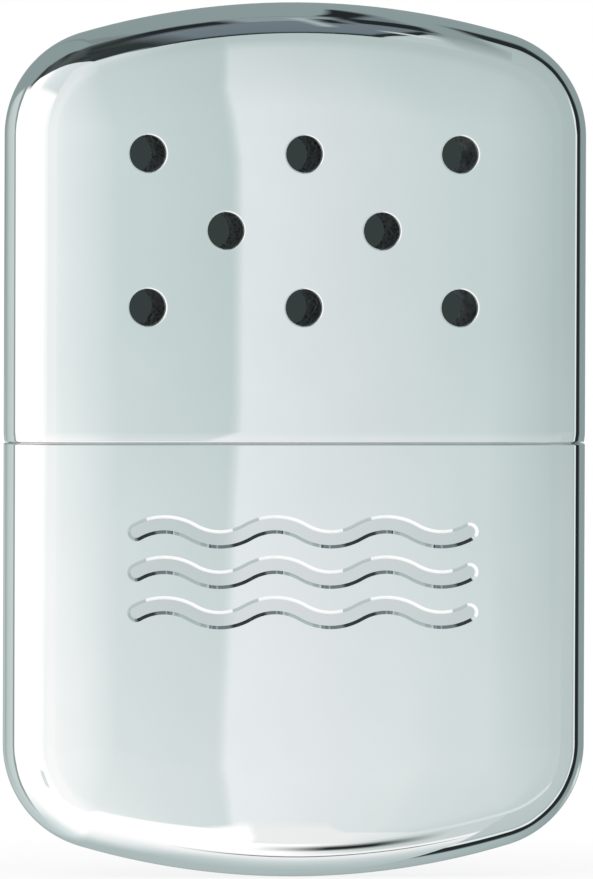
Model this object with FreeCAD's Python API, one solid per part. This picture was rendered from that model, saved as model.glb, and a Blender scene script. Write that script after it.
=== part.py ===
import FreeCAD
import Part

import math
import os

# Pocket catalytic hand warmer, upright: +Z up, front face towards -Y, +X to the right.
# The origin is the lowest point of the domed base, on the case's centre line. Millimetres.

# --- Case: one smooth envelope, split at the seam into the tank below and the cap above ---
case_width = 67.0
case_height = 100.0
case_thickness = 13.0
seam_height = 49.6
case_wall = 0.5
crown_radius = 88.0  # both domed ends, seen from the front
corner_radius = 12.2  # joins the crowns to the straight sides, and is as deep as the curved border
flank_radius = 75.0  # broad face's border, falling gently from the flat land to the rolled edge
side_band = 1.0  # straight band on the narrow side between the two rolled edges
mouth_radius = 0.2  # rounding of the cap's and the tank's outer mouth edges
seam_gap = 0.08  # cap's rim above the tank's rim

# --- Vents in the cap, front and rear ---
vent_diameter = 4.1
vent_bevel = 0.2  # softened outer edge of each vent
vent_pitch_x = 18.0
vent_pitch_z = 8.75
vent_middle_height = 73.9
vent_rows = (3, 2, 3)

# --- Lid of the tank: collar and deck drawn in one piece ---
collar_clearance = 0.15  # collar inside the tank's mouth, and inside the cap
collar_depth = 6.0  # below the seam
collar_rise = 4.2  # above the seam
lid_wall = 0.4
shoulder_radius = 1.2
dimple_radius = 1.1  # footprint of a grip dimple
dimple_gap = 0.03  # left between a dimple and the wall that it grips
dimple_root = 0.2  # how deep a dimple reaches into the wall that carries it
collar_dimple_spacing = 22.0

# --- Filler neck: flat oval tube ---
neck_length = 24.0
neck_width = 7.0
neck_wall = 0.4
neck_rise = 4.0  # above the deck
neck_drop = 2.6  # tube below its flange, into the tank
neck_flange = 1.1  # flange's reach beyond the tube, under the deck
neck_flange_thickness = 0.4
neck_hole_clearance = 0.06
neck_lip = 0.12  # bevel of the tube's top edges

# --- Screen and wick in the neck ---
screen_thickness = 0.25
screen_hole = 1.2
screen_pitch = 2.0
screen_rim = 0.7
wick_clearance = 0.15
wick_recess = 4.2  # wick's top below the neck's rim

# --- Wadding in the tank ---
wadding_clearance = 0.3  # to the collar, the tightest place
wadding_headroom = 0.3  # below the screen

# --- Burner: sleeve, cage, gauzes and pad ---
burner_seat_gap = 0.05  # brim above the deck
sleeve_clearance = 0.15  # skirt round the neck
skirt_wall = 0.35
skirt_rise = 4.4  # above the burner's seat
brim_reach = 0.9
sleeve_dimple_spacing = 11.0
cage_wall = 0.35
cage_joint_gap = 0.04  # cage's band round the skirt
cage_band = 1.4  # overlap of the cage on the skirt
cage_height = 8.7  # cage's top above the burner's seat
cage_rim_reach = 1.3  # turned-in rim at the top
cage_rim_radius = 0.3
window_width = 2.3
window_bar = 1.0
window_count = 5
window_corner = 0.45
window_sill = 0.55  # window's foot above the lower gauze
window_head = 0.65  # window's top below the cage's top
gauze_thickness = 0.25
gauze_gap = 0.06
gauze_rim = 0.8
gauze_hole = 1.0
gauze_pitch = 1.4
pad_clearance = 0.3

# --- Heights and offsets that follow from the sizes above ---
half_width = case_width / 2
half_thickness = case_thickness / 2
corner_x = half_width - corner_radius
crown_to_corner = math.sqrt((crown_radius - corner_radius) ** 2 - corner_x**2)
top_corner_z = case_height - crown_radius + crown_to_corner
base_corner_z = crown_radius - crown_to_corner
turn = math.degrees(math.atan2(crown_to_corner, corner_x))  # of each corner, from side to crown
flank_depth = flank_radius - half_thickness + side_band / 2
edge_radius = (flank_radius**2 - corner_radius**2 - flank_depth**2) / (2 * (flank_radius - corner_radius))
edge_centre = corner_radius - edge_radius  # rolled edge's centre, outwards from the land's border
collar_offset = case_wall + collar_clearance
deck_z = seam_height + collar_rise
neck_top = deck_z + neck_rise
flange_top = deck_z - lid_wall
flange_base = flange_top - neck_flange_thickness
neck_foot = flange_base - neck_drop
screen_base = neck_foot - screen_thickness
burner_base = deck_z + burner_seat_gap
skirt_top = burner_base + skirt_rise
lower_gauze_base = skirt_top + gauze_gap
cage_top = burner_base + cage_height
upper_gauze_top = cage_top - cage_wall - gauze_gap
skirt_offset = sleeve_clearance + skirt_wall
cage_inner_offset = skirt_offset + cage_joint_gap
cage_offset = cage_inner_offset + cage_wall
margin = 5.0  # tools reach this far past what they cut


def vec(x, y, z):
    return FreeCAD.Vector(x, y, z)


def arc(start, middle, end):
    return Part.Arc(start, middle, end).toShape()


def section_point(centre_u, centre_v, radius, tilt):
    """Point of the edge's section, on an arc at a tilt from the broad face's normal."""
    return vec(corner_x + centre_u + radius * math.sin(tilt), centre_v + radius * math.cos(tilt), 0)


def edge_section(offset):
    """Section through the curved border at the right-hand side, seen from above.

    It runs from the land's border out to the narrow side: flank, rolled edge, band, rolled edge, flank.
    """
    flank = flank_radius - offset
    rolled = edge_radius - offset
    flank_end = math.asin(edge_centre / (flank_radius - edge_radius))
    flank_v = half_thickness - flank_radius
    upper = [section_point(0, flank_v, flank, flank_end * step) for step in (0, 0.5, 1)]
    half_turn = (flank_end + math.pi / 2) / 2
    upper += [section_point(edge_centre, side_band / 2, rolled, tilt) for tilt in (half_turn, math.pi / 2)]
    lower = [vec(point.x, -point.y, 0) for point in upper]
    edges = [
        arc(*upper[0:3]),
        arc(*upper[2:5]),
        Part.makeLine(upper[4], lower[4]),
        arc(lower[4], lower[3], lower[2]),
        arc(lower[2], lower[1], lower[0]),
        Part.makeLine(lower[0], upper[0]),
    ]
    return Part.Face(Part.Wire(edges))


def land_block(offset):
    """Flat middle of the case, bounded by the four corners' axes and the crowns' inner arcs."""
    radius = crown_radius - corner_radius
    top_left = vec(-corner_x, 0, top_corner_z)
    top_right = vec(corner_x, 0, top_corner_z)
    base_left = vec(-corner_x, 0, base_corner_z)
    base_right = vec(corner_x, 0, base_corner_z)
    edges = [
        arc(top_left, vec(0, 0, case_height - crown_radius + radius), top_right),
        Part.makeLine(top_right, base_right),
        arc(base_right, vec(0, 0, crown_radius - radius), base_left),
        Part.makeLine(base_left, top_left),
    ]
    thickness = case_thickness - 2 * offset
    block = Part.Face(Part.Wire(edges)).extrude(vec(0, thickness, 0))
    block.translate(vec(0, -thickness / 2, 0))
    return block


def case_solid(offset):
    """Whole case envelope, moved inwards by offset on every side.

    One section goes all the way round: up the sides, round the corners and over the crowns.
    """
    section = edge_section(offset)
    out_of_front = vec(0, -1, 0)
    foot = section.translated(vec(0, 0, base_corner_z))
    side = foot.extrude(vec(0, 0, top_corner_z - base_corner_z))
    head = section.translated(vec(0, 0, top_corner_z))
    corner_axis = vec(corner_x, 0, top_corner_z)
    corner = head.revolve(corner_axis, out_of_front, turn)
    head.rotate(corner_axis, out_of_front, turn)
    crown = head.revolve(vec(0, 0, case_height - crown_radius), out_of_front, 180 - 2 * turn)
    across = [shape.mirror(vec(0, 0, 0), vec(1, 0, 0)) for shape in (side, corner)]
    middle = vec(0, 0, case_height / 2)
    below = [shape.mirror(middle, vec(0, 0, 1)) for shape in (corner, crown, across[1])]
    return land_block(offset).multiFuse([side, corner, crown] + across + below).removeSplitter().Solids[0]


def height_band(low, high):
    """Block as wide as the case, between two heights."""
    size = case_width + margin
    return Part.makeBox(size, size, high - low, vec(-size / 2, -size / 2, low))


def edges_at(shape, z):
    """Edges that lie wholly at one height."""
    return [e for e in shape.Edges if all(abs(v.Z - z) < 0.001 for v in e.Vertexes)]


def outer_edges_at(shape, z):
    """Edges at one height that belong to the outermost wire."""
    faces = [f for f in shape.Faces if f.BoundBox.ZLength < 0.001 and abs(f.CenterOfMass.z - z) < 0.001]
    return [e for f in faces for e in f.OuterWire.Edges]


def stadium(length, width, low, high):
    """Upright block with half-round ends."""
    straight = (length - width) / 2
    radius = width / 2
    edges = [
        Part.makeLine(vec(-straight, -radius, low), vec(straight, -radius, low)),
        arc(vec(straight, -radius, low), vec(straight + radius, 0, low), vec(straight, radius, low)),
        Part.makeLine(vec(straight, radius, low), vec(-straight, radius, low)),
        arc(vec(-straight, radius, low), vec(-straight - radius, 0, low), vec(-straight, -radius, low)),
    ]
    return Part.Face(Part.Wire(edges)).extrude(vec(0, 0, high - low))


def around_neck(offset, low, high):
    """Upright block that follows the neck's outer wall at a distance."""
    return stadium(neck_length + 2 * offset, neck_width + 2 * offset, low, high)


def grip_dimple(x, wall_y, z, direction, height):
    """Shallow round bump on a flat wall, standing out by height along Y, towards direction +1 or -1."""
    ball_radius = (dimple_radius**2 + height**2) / (2 * height)
    ball = Part.makeSphere(ball_radius, vec(x, wall_y + direction * (height - ball_radius), z))
    root = wall_y - direction * dimple_root
    tip = wall_y + direction * height
    corner = vec(x - dimple_radius, min(root, tip), z - dimple_radius)
    block = Part.makeBox(2 * dimple_radius, abs(tip - root), 2 * dimple_radius, corner)
    return ball.common(block)


def tank_shell():
    band = height_band(-margin, seam_height)
    shell = case_solid(0).common(band).cut(case_solid(case_wall))
    return shell.makeFillet(mouth_radius, outer_edges_at(shell, seam_height))


def vent_places():
    places = []
    for row, count in enumerate(vent_rows):
        z = vent_middle_height + ((len(vent_rows) - 1) / 2 - row) * vent_pitch_z
        for column in range(count):
            places.append(((column - (count - 1) / 2) * vent_pitch_x, z))
    return places


def cap_shell():
    rim = seam_height + seam_gap
    shell = case_solid(0).common(height_band(rim, case_height + margin)).cut(case_solid(case_wall))
    length = case_thickness + margin
    for x, z in vent_places():
        drill = Part.makeCylinder(vent_diameter / 2, length, vec(x, -length / 2, z), vec(0, 1, 0))
        shell = shell.cut(drill)
    lips = []
    for edge in shell.Edges:
        box = edge.BoundBox
        round_edge = abs(box.XLength - vent_diameter) < 0.01 and abs(box.ZLength - vent_diameter) < 0.01
        outer = max(abs(box.YMin), abs(box.YMax)) > half_thickness - case_wall / 2
        if round_edge and outer:
            lips.append(edge)
    shell = shell.makeChamfer(vent_bevel, lips)
    return shell.makeFillet(mouth_radius, outer_edges_at(shell, rim))


def tank_lid():
    low = seam_height - collar_depth
    outside = case_solid(collar_offset).common(height_band(low, deck_z))
    outside = outside.makeFillet(shoulder_radius, edges_at(outside, deck_z))
    inside = case_solid(collar_offset + lid_wall).common(height_band(low - margin, deck_z - lid_wall))
    inside = inside.makeFillet(shoulder_radius - lid_wall, edges_at(inside, deck_z - lid_wall))
    lid = outside.cut(inside)
    lid = lid.cut(around_neck(neck_hole_clearance, deck_z - lid_wall - margin, deck_z + margin))
    face_y = half_thickness - collar_offset
    z = seam_height + collar_rise / 2
    for x in (-collar_dimple_spacing / 2, collar_dimple_spacing / 2):
        for side in (-1, 1):
            lid = lid.fuse(grip_dimple(x, side * face_y, z, side, collar_clearance - dimple_gap))
    return lid


def filler_neck():
    flange = around_neck(neck_flange, flange_base, flange_top)
    tube = around_neck(0, neck_foot, neck_top)
    neck = tube.fuse(flange).cut(around_neck(-neck_wall, neck_foot - margin, neck_top + margin))
    return neck.makeChamfer(neck_lip, edges_at(neck, neck_top))


def pierced(plate, hole, pitch, rim, length, width):
    """Plate with a grid of square holes, clear of its edge by a rim."""
    low = plate.BoundBox.ZMin - margin
    columns = int((length - 2 * rim - hole) / pitch) // 2
    rows = int((width - 2 * rim - hole) / pitch) // 2
    straight = (length - width) / 2
    reach = width / 2 - rim
    holes = []
    for column in range(-columns, columns + 1):
        for row in range(-rows, rows + 1):
            x = column * pitch
            y = row * pitch
            corner = math.hypot(max(abs(x) + hole / 2 - straight, 0), abs(y) + hole / 2)
            if corner <= reach:
                size = plate.BoundBox.ZLength + 2 * margin
                holes.append(Part.makeBox(hole, hole, size, vec(x - hole / 2, y - hole / 2, low)))
    return plate.cut(Part.makeCompound(holes))


def neck_screen():
    plate = around_neck(0, screen_base, neck_foot)
    return pierced(plate, screen_hole, screen_pitch, screen_rim, neck_length, neck_width)


def neck_wick():
    inset = neck_wall + wick_clearance
    return around_neck(-inset, neck_foot, neck_top - wick_recess)


def tank_wadding():
    offset = collar_offset + lid_wall + wadding_clearance
    return case_solid(offset).common(height_band(-margin, screen_base - wadding_headroom))


def burner_skirt():
    tube = around_neck(skirt_offset, burner_base, skirt_top)
    brim = around_neck(skirt_offset + brim_reach, burner_base, burner_base + skirt_wall)
    skirt = tube.fuse(brim)
    skirt = skirt.cut(around_neck(sleeve_clearance, burner_base - margin, skirt_top + margin))
    wall_y = neck_width / 2 + sleeve_clearance
    z = burner_base + neck_rise / 2
    for x in (-sleeve_dimple_spacing / 2, sleeve_dimple_spacing / 2):
        for side in (-1, 1):
            skirt = skirt.fuse(grip_dimple(x, side * wall_y, z, -side, sleeve_clearance - dimple_gap))
    return skirt


def burner_cage():
    low = skirt_top - cage_band
    outside = around_neck(cage_offset, low, cage_top)
    outside = outside.makeFillet(cage_rim_radius, edges_at(outside, cage_top))
    inside = around_neck(cage_inner_offset, low - margin, cage_top - cage_wall)
    mouth = around_neck(cage_offset - cage_rim_reach, low, cage_top + margin)
    cage = outside.cut(inside).cut(mouth)
    window_low = lower_gauze_base + window_sill
    window_high = cage_top - window_head
    height = window_high - window_low
    reach = neck_width + 2 * cage_offset + margin
    tools = []
    for index in range(window_count):
        left = (index - (window_count - 1) / 2) * (window_width + window_bar) - window_width / 2
        tools.append(Part.makeBox(window_width, reach, height, vec(left, -reach / 2, window_low)))
    reach = neck_length + 2 * cage_offset + margin
    tools.append(Part.makeBox(reach, window_width, height, vec(-reach / 2, -window_width / 2, window_low)))
    windows = Part.makeCompound([soften_window(tool) for tool in tools])
    return cage.cut(windows)


def soften_window(tool):
    """Rounds the four long edges of a bar that cuts a window in both walls."""
    return tool.makeFillet(window_corner, [edge for edge in tool.Edges if edge.Length > neck_width])


def gauze(low):
    offset = cage_inner_offset - gauze_gap
    length = neck_length + 2 * offset
    width = neck_width + 2 * offset
    plate = around_neck(offset, low, low + gauze_thickness)
    return pierced(plate, gauze_hole, gauze_pitch, gauze_rim, length, width)


def catalyst_pad():
    low = lower_gauze_base + gauze_thickness + gauze_gap
    high = upper_gauze_top - gauze_thickness - gauze_gap
    return around_neck(cage_inner_offset - pad_clearance, low, high)


def write(name, shape):
    solid = shape.Solids[0]
    state = "valid" if shape.isValid() and len(shape.Solids) == 1 else "NOT ONE VALID SOLID"
    print(name, state, "%.1f mm3" % solid.Volume)
    solid.exportStep("parts/%s.step" % name)


os.makedirs("parts", exist_ok=True)
write("tank_shell", tank_shell())
write("tank_lid", tank_lid())
write("filler_neck", filler_neck())
write("neck_screen", neck_screen())
write("neck_wick", neck_wick())
write("tank_wadding", tank_wadding())
write("burner_skirt", burner_skirt())
write("lower_gauze", gauze(lower_gauze_base))
write("catalyst_pad", catalyst_pad())
write("upper_gauze", gauze(upper_gauze_top - gauze_thickness))
write("burner_cage", burner_cage())
write("cap_shell", cap_shell())
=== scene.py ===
import math
from contextlib import contextmanager

import bmesh
import bpy
from bpy.props import FloatProperty, FloatVectorProperty, IntProperty, PointerProperty
from mathutils import Matrix, Vector

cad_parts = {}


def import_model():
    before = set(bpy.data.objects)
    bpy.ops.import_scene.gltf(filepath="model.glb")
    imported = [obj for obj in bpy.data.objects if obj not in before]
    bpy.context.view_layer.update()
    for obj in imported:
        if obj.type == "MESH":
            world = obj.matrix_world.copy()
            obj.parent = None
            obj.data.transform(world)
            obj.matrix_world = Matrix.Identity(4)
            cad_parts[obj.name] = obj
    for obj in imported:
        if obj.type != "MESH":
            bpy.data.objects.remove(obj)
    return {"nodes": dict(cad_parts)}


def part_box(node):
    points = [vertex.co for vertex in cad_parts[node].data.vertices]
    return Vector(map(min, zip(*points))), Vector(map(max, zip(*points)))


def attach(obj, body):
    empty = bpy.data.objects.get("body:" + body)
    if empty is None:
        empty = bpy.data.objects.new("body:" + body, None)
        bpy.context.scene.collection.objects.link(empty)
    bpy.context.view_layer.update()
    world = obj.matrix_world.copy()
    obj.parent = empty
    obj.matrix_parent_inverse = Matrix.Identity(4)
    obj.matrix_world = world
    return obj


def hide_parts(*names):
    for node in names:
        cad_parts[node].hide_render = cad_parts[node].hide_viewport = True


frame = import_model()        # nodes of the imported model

bl_info = {
    "name": "Catalytic hand warmer",
    "version": (1, 0, 0),
    "blender": (4, 5, 0),
    "location": "View3D > Sidebar > Warmer",
    "description": "Dresses the packed model of a pocket hand warmer and lights it",
    "category": "Object",
}

CAP_LOW, CAP_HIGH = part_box("cap_shell")
CAP_MOUTH = CAP_LOW.z
TANK_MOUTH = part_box("tank_shell")[1].z
HALF_WIDTH = CAP_HIGH.x
HALF_THICKNESS = CAP_HIGH.y
CASE_HEIGHT = CAP_HIGH.z
MIDDLE = Vector((0, 0, CASE_HEIGHT / 2))
MM = 0.001
TINY = 0.0005 * MM        # places nearer than this count as one
VENT_ROWS = (3, 2, 3)     # vents in each row, from the top
UPRIGHT = (math.pi / 2, 0, 0)


# --- Sizes and colours that a user would change ---


def length(name, description, millimetres):
    default = millimetres * MM
    return FloatProperty(
        name=name, description=description, default=default, min=0, precision=5, unit="LENGTH"
    )


def share(name, description, default):
    return FloatProperty(
        name=name, description=description, default=default, min=0, max=1, subtype="FACTOR"
    )


def degrees(name, description, default):
    default = math.radians(default)
    return FloatProperty(name=name, description=description, default=default, subtype="ANGLE")


def count(name, description, default, most):
    return IntProperty(name=name, description=description, default=default, min=1, max=most)


def colour(name, description, default):
    return FloatVectorProperty(
        name=name, description=description, default=default, min=0, max=1, subtype="COLOR"
    )


class CaseShape(bpy.types.PropertyGroup):
    crown_radius: length("Crown", "Radius of the domed ends, seen from the front", 88)
    corner_radius: length("Corner", "Radius of the corners, and depth of the curved border", 12.2)
    flank_radius: length("Flank", "Radius of the border's gentle fall from the flat land", 75)
    side_band: length("Side band", "Straight band between the two rolled edges", 1)
    wall: length("Wall", "Thickness of the drawn sheet", 0.5)
    mouth_radius: length("Mouth", "Rounding of the outer mouth edge", 0.2)
    mouth_turn: length("Mouth turn-in", "How far the cap's mouth edge draws in", 0.12)
    mouth_stretch: length("Mouth stretch", "Height over which the mouth draws in", 1.3)
    vent_diameter: length("Vent", "Diameter of a vent", 4.1)
    vent_lip: length("Vent lip", "Softened outer edge of a vent", 0.27)
    vent_pitch_x: length("Vent columns", "Distance between vents in a row", 18)
    vent_pitch_z: length("Vent rows", "Distance between the rows of vents", 8.75)
    vent_height: length("Vent height", "Height of the middle row", 73.9)


class CaseFinish(bpy.types.PropertyGroup):
    plating: colour("Plating", "Colour of the bright plating", (0.955, 0.96, 0.96))
    gloss: share("Roughness", "Roughness of the polished plating", 0.018)
    waviness: length("Waviness", "Depth of the sheet's slow waves", 0.004)
    inside: colour("Inside", "Colour of the unpolished inside", (0.42, 0.44, 0.44))


class MotifShape(bpy.types.PropertyGroup):
    ribbons: count("Ribbons", "Ribbons over each other", 3, 5)
    humps: count("Humps", "Half waves in a ribbon", 6, 12)
    bend: length("Bend", "Radius of a half wave's centre line", 6.4)
    lean: degrees("Lean", "Steepest slope of a ribbon", 30)
    width: length("Width", "Width of a ribbon", 2.1)
    pitch: length("Pitch", "Distance between ribbons", 4.6)
    height: length("Height", "Height of the motif's middle", 35)
    depth: length("Depth", "How deep the motif is pressed in", 0.25)
    slope: length("Slope", "Width of the pressed border", 0.38)


class BurnerShape(bpy.types.PropertyGroup):
    wire: length("Wire", "Diameter of the gauze wire", 0.12)
    mesh: length("Mesh", "Distance between the gauze's wires", 0.7)
    gauze_rim: length("Gauze rim", "Width of the pressed rim round a gauze", 0.8)
    felt_layers: count("Felt layers", "Layers of felt in the wick", 3, 5)
    slit_depth: length("Slit depth", "Depth of the slits between the felt layers", 3)
    slit_width: length("Slit width", "Width of the slits between the felt layers", 0.4)
    slack: length("Slack", "Room that the soft pieces leave to their neighbours", 0.08)
    lumps: length("Lumps", "Height of the soft pieces' unevenness", 0.1)


class InnerFinish(bpy.types.PropertyGroup):
    nickel: colour("Nickel", "Colour of the lid's and the neck's plating", (0.80, 0.77, 0.72))
    steel: colour("Steel", "Colour of the burner's stainless steel", (0.62, 0.60, 0.58))
    wire: colour("Wire", "Colour of the gauze wire", (0.55, 0.54, 0.52))
    felt: colour("Felt", "Colour of the wick's felt", (0.86, 0.84, 0.79))
    cotton: colour("Cotton", "Colour of the wadding", (0.90, 0.89, 0.86))


class Studio(bpy.types.PropertyGroup):
    distance: length("Camera distance", "From the case's middle to the camera", 1500)
    azimuth: degrees("Camera azimuth", "Round the case from the front, to the right", -8.8)
    camera_height: length("Camera height", "Height of the camera above the floor", 80)
    aside: length("Aim", "How far right of the case's middle the camera aims", 0.17)
    roll: degrees("Camera roll", "Turn about the line of sight", 0.2)
    lens: FloatProperty(name="Lens", description="Focal length", default=537, unit="CAMERA")
    floor: colour("Floor", "Colour of the floor", (0.94, 0.95, 0.95))
    ambient: share("Ambient", "Light from all round", 0.7)
    key_power: FloatProperty(name="Key lamp", description="Its power", default=4.5, unit="POWER")


# --- Shader maths ---


class Shade:
    """A socket of a node tree. Arithmetic on it adds Math nodes."""

    def __init__(self, tree, socket=None):
        self.tree = tree
        self.socket = socket

    def node(self, kind, inputs=None, settings=None, output=0):
        """Adds any node, with values or links for its sockets. None leaves a socket as it is."""
        made = self.tree.nodes.new(kind)
        for key, value in (settings or {}).items():
            setattr(made, key, value)
        for key, value in (inputs or {}).items():
            if isinstance(value, Shade):
                self.tree.links.new(value.socket, made.inputs[key])
            elif value is not None:
                made.inputs[key].default_value = value
        return Shade(self.tree, made.outputs[output] if made.outputs else None)

    def math(self, operation, *others):
        """A Math node whose first value is this socket."""
        values = dict(enumerate((self, *others)))
        return self.node("ShaderNodeMath", values, {"operation": operation})

    def vector_math(self, operation, *others, output=0):
        """A Vector Math node whose first value is this socket."""
        values = dict(enumerate((self, *others)))
        return self.node("ShaderNodeVectorMath", values, {"operation": operation}, output)

    def __add__(self, other):
        return self.math("ADD", other)

    __radd__ = __add__

    def __sub__(self, other):
        return self.math("SUBTRACT", other)

    def __mul__(self, other):
        return self.math("MULTIPLY", other)

    __rmul__ = __mul__


def ramp(value, stops):
    """Turns a value into the colours of (place, colour) stops."""
    made = value.node("ShaderNodeValToRGB", {"Fac": value})
    elements = made.socket.node.color_ramp.elements
    while len(elements) > 1:
        elements.remove(elements[-1])
    for index, (place, tone) in enumerate(stops):
        element = elements[0] if index == 0 else elements.new(place)
        element.position = place
        element.color = (*tone, 1)
    return made


def object_place(root, stretch=(1, 1, 1)):
    """Object coordinates in millimetres, stretched along X, Y and Z."""
    place = root.node("ShaderNodeTexCoord", output="Object")
    scale = [factor / MM for factor in stretch]
    return root.node("ShaderNodeMapping", {"Vector": place, "Scale": scale})


def parts_of(vector):
    """X, Y and Z of a vector."""
    inputs = {"Vector": vector}
    return [vector.node("ShaderNodeSeparateXYZ", inputs, output=axis) for axis in range(3)]


def noise(root, place, scale, detail=2.0, roughness=0.5):
    inputs = {"Vector": place, "Scale": scale, "Detail": detail, "Roughness": roughness}
    return root.node("ShaderNodeTexNoise", inputs)


def level(value, low, high, to_low=0.0, to_high=1.0):
    """Maps a value from one range to another, clamped."""
    inputs = {"Value": value, "From Min": low, "From Max": high, "To Min": to_low, "To Max": to_high}
    return value.node("ShaderNodeMapRange", inputs, {"clamp": True})


def window(value, low, high, soft=1.0):
    """1 between two values and 0 outside."""
    return level(value, low - soft, low + soft) * level(value, high + soft, high - soft)


def mix(factor, first, second):
    """Mixes two colours."""
    settings = {"data_type": "RGBA", "clamp_factor": True}
    inputs = {"Factor": factor, 6: first, 7: second}
    return factor.node("ShaderNodeMix", inputs, settings, output=2)


def bump(height, distance, normal=None):
    inputs = {"Height": height, "Distance": distance, "Strength": 1.0, "Normal": normal}
    return height.node("ShaderNodeBump", inputs)


def rgba(tone, factor=1.0):
    return (*[min(part * factor, 1) for part in tone], 1)


def new_material(name):
    """Makes an empty node material, and gives the Shade that its nodes grow from."""
    material = bpy.data.materials.new(name)
    material.use_nodes = True
    material.node_tree.nodes.clear()
    return Shade(material.node_tree)


def surface(root, shader):
    root.node("ShaderNodeOutputMaterial", {"Surface": shader})


def metal(root, base, roughness, normal=None):
    """Ends a material as bare metal."""
    inputs = {"Base Color": base, "Metallic": 1.0, "Roughness": roughness, "Normal": normal}
    surface(root, root.node("ShaderNodeBsdfPrincipled", inputs))


# --- Materials ---


def pressed_floor(root):
    """1 on the floor of the pressed motif, and 0 on the rest of the case."""
    motif = bpy.context.scene.motif_shape
    x, y, z = parts_of(object_place(root))
    land = -HALF_THICKNESS / MM
    deep = level(y, land + 0.5 * motif.depth / MM, land + 0.9 * motif.depth / MM)
    reach = (motif.ribbons + 1) * motif.pitch / 2 / MM
    corner_x = (HALF_WIDTH - bpy.context.scene.case_shape.corner_radius) / MM
    near_x = level(x.math("ABSOLUTE"), corner_x + 0.1, corner_x)
    near_z = level((z - motif.height / MM).math("ABSOLUTE"), reach + 0.1, reach)
    return deep * near_x * near_z * level(y, 0.0, -1.0)


def bright_plating():
    """Mirror-bright plating on drawn sheet, with slow waves, the finest polishing lines, and painted
    shade on the floor of the pressed motif.
    """
    finish = bpy.context.scene.case_finish
    root = new_material("bright_plating")
    waves = noise(root, object_place(root), 0.07, detail=1.0)
    lines = noise(root, object_place(root, (0.12, 0.5, 9)), 1.0, detail=3.0)
    grain = noise(root, object_place(root, (0.5, 0.5, 4)), 2.0, detail=2.0)
    patches = noise(root, object_place(root), 0.11, detail=3.0)
    worn = level(patches, 0.35, 0.75)
    base = mix(worn, rgba(finish.plating), rgba(finish.plating, 0.975))
    sunk = pressed_floor(root)
    # Painted shade: the pressed motif's floor is darker, as a recess; it is also rougher.
    base = mix(sunk, base, rgba(finish.plating, 0.88))
    roughness = finish.gloss + 0.008 * level(lines, 0.45, 0.8) + 0.006 * worn + 0.03 * sunk
    line_depth = 0.00012 * MM
    fine = bump(lines + 0.5 * grain, line_depth, bump(waves, finish.waviness))
    metal(root, base, roughness, fine)


def satin_inside():
    """Unpolished inner side of the drawn sheet, speckled by the plating bath, with painted light
    that brightens patches towards the right.
    """
    finish = bpy.context.scene.case_finish
    root = new_material("satin_inside")
    speckle = root.node("ShaderNodeTexVoronoi", {"Vector": object_place(root), "Scale": 2.4})
    cloud = noise(root, object_place(root), 0.6, detail=4.0)
    dark = level(speckle, 0.1, 0.5)
    base = mix(dark, rgba(finish.inside, 0.40), rgba(finish.inside, 0.95))
    # Painted light: patches of the inside turn lighter towards +X, as if lit from the right.
    painted_light_right = level(parts_of(object_place(root))[0] + 3.0 * cloud, 13.0, 21.0)
    base = mix(painted_light_right * level(cloud, 0.35, 0.6), base, rgba(finish.inside, 2.0))
    roughness = 0.32 + 0.25 * cloud
    speckle_depth = 0.03 * MM
    metal(root, base, roughness, bump(speckle + cloud, speckle_depth))


def drawn_nickel():
    """Nickel-plated drawn brass, with vertical drawing lines."""
    finish = bpy.context.scene.inner_finish
    root = new_material("drawn_nickel")
    lines = noise(root, object_place(root, (7, 7, 0.3)), 1.0, detail=3.0)
    cloud = noise(root, object_place(root), 0.35, detail=3.0)
    base = mix(level(cloud, 0.3, 0.7), rgba(finish.nickel, 0.9), rgba(finish.nickel, 1.05))
    line_depth = 0.0012 * MM
    metal(root, base, 0.13 + 0.14 * lines + 0.06 * cloud, bump(lines, line_depth))


def heat_tinted_steel():
    """Stainless sheet of the burner, tinted straw and blue where it runs hot."""
    finish = bpy.context.scene.inner_finish
    low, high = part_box("burner_cage")
    root = new_material("heat_tinted_steel")
    place = object_place(root)
    height = parts_of(place)[2]
    cloud = noise(root, place, 0.3, detail=4.0)
    grain = noise(root, object_place(root, (1, 1, 12)), 1.0, detail=3.0)
    warmth = level(height + 3.0 * cloud, low.z / MM + 1.5, high.z / MM + 2.0)
    stops = [
        (0.0, finish.steel),
        (0.45, (0.60, 0.53, 0.42)),
        (0.75, (0.52, 0.43, 0.33)),
        (1.0, (0.42, 0.40, 0.43)),
    ]
    grain_depth = 0.0015 * MM
    metal(root, ramp(warmth, stops), 0.24 + 0.18 * grain + 0.08 * cloud, bump(grain, grain_depth))


def gauze_wire():
    """Drawn wire of the woven gauzes, dulled by heat."""
    finish = bpy.context.scene.inner_finish
    root = new_material("gauze_wire")
    cloud = noise(root, object_place(root), 1.2, detail=3.0)
    base = mix(cloud, rgba(finish.wire, 0.75), rgba(finish.wire, 1.15))
    metal(root, base, 0.3 + 0.2 * cloud)


def fibrous(name, tone, fibre_scale, depth):
    """Soft white goods: felt or cotton, by the size of their fibres."""
    root = new_material(name)
    across = noise(root, object_place(root, (1, 1, 5)), fibre_scale, detail=5.0, roughness=0.65)
    along = noise(root, object_place(root, (5, 1, 1)), fibre_scale, detail=5.0, roughness=0.65)
    cloud = noise(root, object_place(root), fibre_scale * 0.3, detail=3.0)
    strands = across.math("MAXIMUM", along)
    base = mix(level(strands, 0.35, 0.75), rgba(tone, 0.78), rgba(tone, 1.04))
    inputs = {
        "Base Color": base,
        "Roughness": 0.95,
        "Sheen Weight": 0.25,
        "Sheen Roughness": 0.5,
        "Normal": bump(strands + 0.6 * cloud, depth),
    }
    surface(root, root.node("ShaderNodeBsdfPrincipled", inputs))


def give_finish(obj, finish):
    """Gives a piece its one material."""
    obj.data.materials.clear()
    obj.data.materials.append(bpy.data.materials[finish])


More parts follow.
